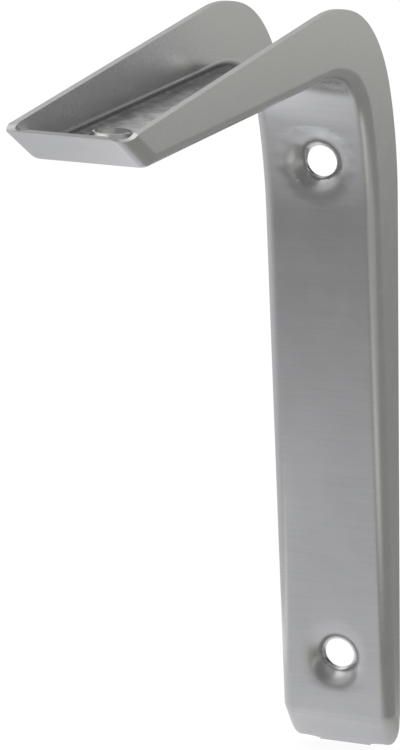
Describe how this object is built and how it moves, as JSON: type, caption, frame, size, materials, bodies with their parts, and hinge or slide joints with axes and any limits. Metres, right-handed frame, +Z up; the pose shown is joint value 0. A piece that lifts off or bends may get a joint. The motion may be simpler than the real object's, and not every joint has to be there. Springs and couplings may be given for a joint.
{
  "type": "shelf bracket",
  "caption": "L-shaped shelf bracket pressed from one steel sheet: a tapered hollow channel with closed ends and dimpled screw holes.",
  "frame": {"origin": "on the axis of the upper wall screw's bore, halfway along its land: the mount that holds the bracket up", "axes": "+Z up the wall, +Y into the wall, so the shelf arm reaches towards -Y, and X across the width, with x = 0 at mid-width"},
  "size_m": [0.022, 0.125, 0.15],
  "materials": {
    "brushed_sheet": "satin, fine brushed grain across the width"
  },
  "bodies": {
    "root": {"bracket": "brushed_sheet"}
  },
  "joints": []
}
